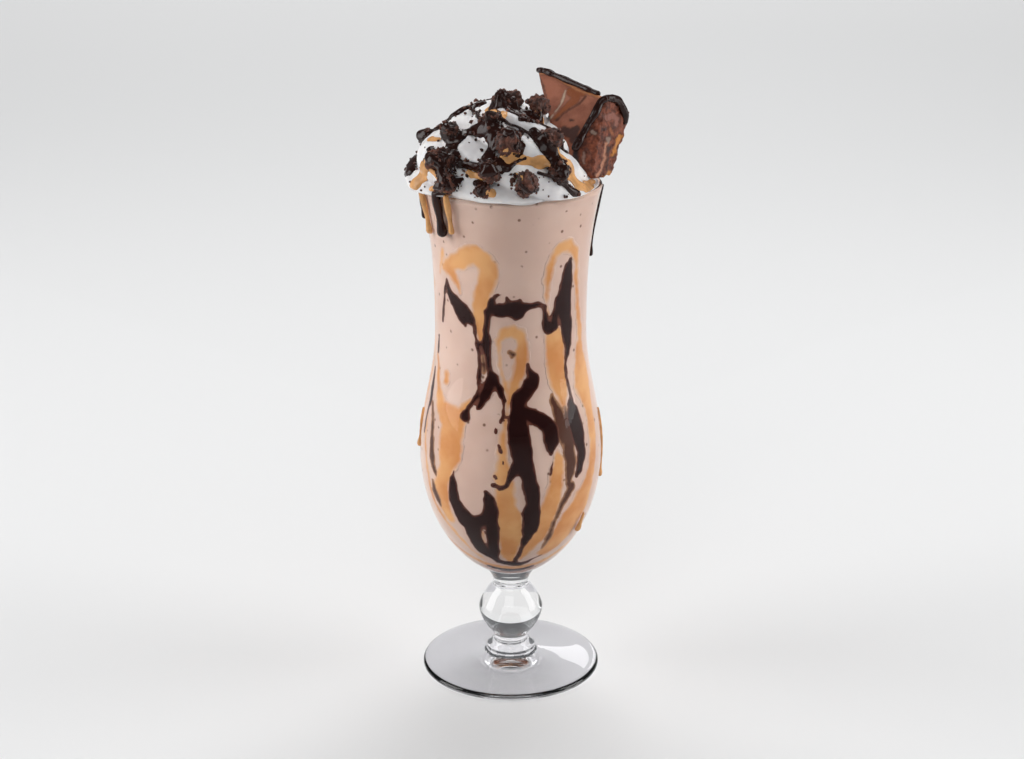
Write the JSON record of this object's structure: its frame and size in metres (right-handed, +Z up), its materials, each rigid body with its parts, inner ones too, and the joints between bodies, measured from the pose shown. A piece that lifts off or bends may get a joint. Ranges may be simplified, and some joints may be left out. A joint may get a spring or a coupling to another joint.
{
  "type": "brownie cocktail",
  "caption": "Milkshake cocktail in a stemmed hurricane glass, under piled whipped cream with brownie chunks, sauce runs and a wedge of brownie tucked in at the rim.",
  "frame": {"origin": "middle of the foot's underside", "axes": "+Z up along the glass's axis, -Y towards the shown front, +X towards the brownie wedge"},
  "size_m": [0.0875, 0.0814, 0.2426],
  "materials": {
    "glass": "clear polished soda glass with chocolate and caramel drips on the outside",
    "milkshake": "thick pinkish-beige shake with chocolate and caramel sauce streaks on the wall",
    "cream": "moist whipped cream with sauce runs",
    "chocolate": "glossy dark chocolate sauce",
    "caramel": "glossy caramel sauce",
    "brownie": "dark crumbly baked brownie",
    "brownie_face": "smooth cut brownie with a rough side"
  },
  "bodies": {
    "root": {"glass": "glass", "milkshake": "milkshake", "whipped_cream": "cream", "brownie_wedge": "brownie_face", "brownie_chunk_01": "brownie", "brownie_chunk_02": "brownie", "brownie_chunk_03": "brownie", "brownie_chunk_04": "brownie", "brownie_chunk_05": "brownie", "brownie_chunk_06": "brownie", "brownie_chunk_07": "brownie", "brownie_chunk_08": "brownie", "brownie_chunk_09": "brownie", "brownie_chunk_10": "brownie", "brownie_chunk_11": "brownie", "brownie_chunk_12": "brownie", "brownie_chunk_13": "brownie", "brownie_chunk_14": "brownie", "brownie_chunk_15": "brownie", "brownie_chunk_16": "brownie", "brownie_chunk_17": "brownie", "brownie_chunk_18": "brownie", "brownie_chunk_19": "brownie"}
  },
  "joints": []
}
